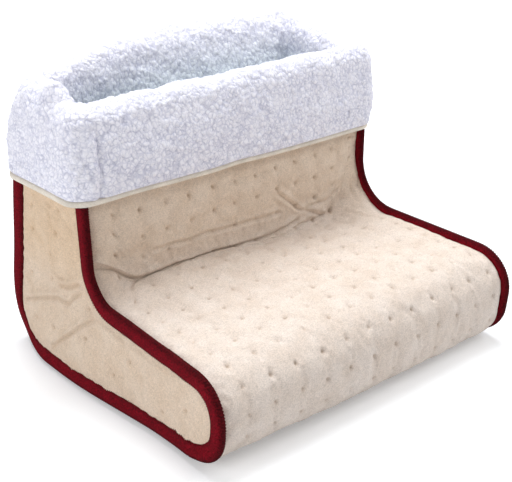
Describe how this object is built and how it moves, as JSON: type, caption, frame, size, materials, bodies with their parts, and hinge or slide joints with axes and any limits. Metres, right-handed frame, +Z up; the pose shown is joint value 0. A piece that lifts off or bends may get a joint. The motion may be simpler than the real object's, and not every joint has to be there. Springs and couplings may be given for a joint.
{
  "type": "electric foot warmer",
  "caption": "Boot-shaped heated foot warmer for both feet: quilted plush covers, bound seams, curly-pile lining, turned-down cuff, heater under the footbed.",
  "frame": {"origin": "on the floor under the middle of the whole object's box", "axes": "+X across the two feet to the wearer's view right, +Y from the toe to the heel, +Z up"},
  "size_m": [0.3196, 0.2819, 0.2465],
  "materials": {
    "plush": "cream plush, short pile",
    "side_plush": "beige plush, short pile",
    "tape": "dark red ribbed tape",
    "pile": "curly pile, matte",
    "padding": "needled wadding",
    "grip": "woven sole fabric with moulded dots",
    "hem": "cream woven tape",
    "felt": "needled felt",
    "wire_sleeve": "silicone sleeve",
    "lead": "lead sleeve",
    "splice": "crimped sleeve",
    "cutout_case": "moulded, satin",
    "brass": "plain",
    "contact": "polished",
    "bimetal": "rolled strip",
    "inlet_plastic": "moulded, satin",
    "steel": "plated"
  },
  "bodies": {
    "root": {"upper_cover": "plush", "back_cover": "plush", "left_cover": "side_plush", "right_cover": "side_plush", "sole_cover": "grip", "left_binding": "tape", "right_binding": "tape", "upper_padding": "padding", "back_padding": "padding", "left_padding": "padding", "right_padding": "padding", "sole_padding": "padding", "upper_lining": "pile", "back_lining": "pile", "left_lining": "pile", "right_lining": "pile", "sole_lining": "pile", "front_cuff": "pile", "back_cuff": "pile", "left_cuff": "pile", "right_cuff": "pile", "cuff_hem_tape": "hem", "lower_felt": "felt", "upper_felt": "felt", "heating_wire": "wire_sleeve", "cutout_splice": "splice", "feed_splice": "splice", "feed_lead": "lead", "cutout_lead": "lead", "cutout_base": "cutout_case", "cutout_lid": "cutout_case", "fixed_terminal": "brass", "fixed_contact": "contact", "blade_terminal": "brass", "inlet_housing": "inlet_plastic", "inlet_pin_left": "brass", "inlet_pin_right": "brass", "inlet_backing_plate": "steel", "inlet_rivet_left": "steel", "inlet_rivet_right": "steel"},
    "blade": {"bimetal_blade": "bimetal", "blade_contact": "contact"}
  },
  "joints": [
    {"name": "blade_hinge", "type": "hinge", "parent": "root", "child": "blade", "pos_m": [0.0652, 0.0758, 0.0148], "axis": [0, 1, 0], "range_deg": [0, 5], "stiffness_Nm_per_rad": 0.002}
  ]
}
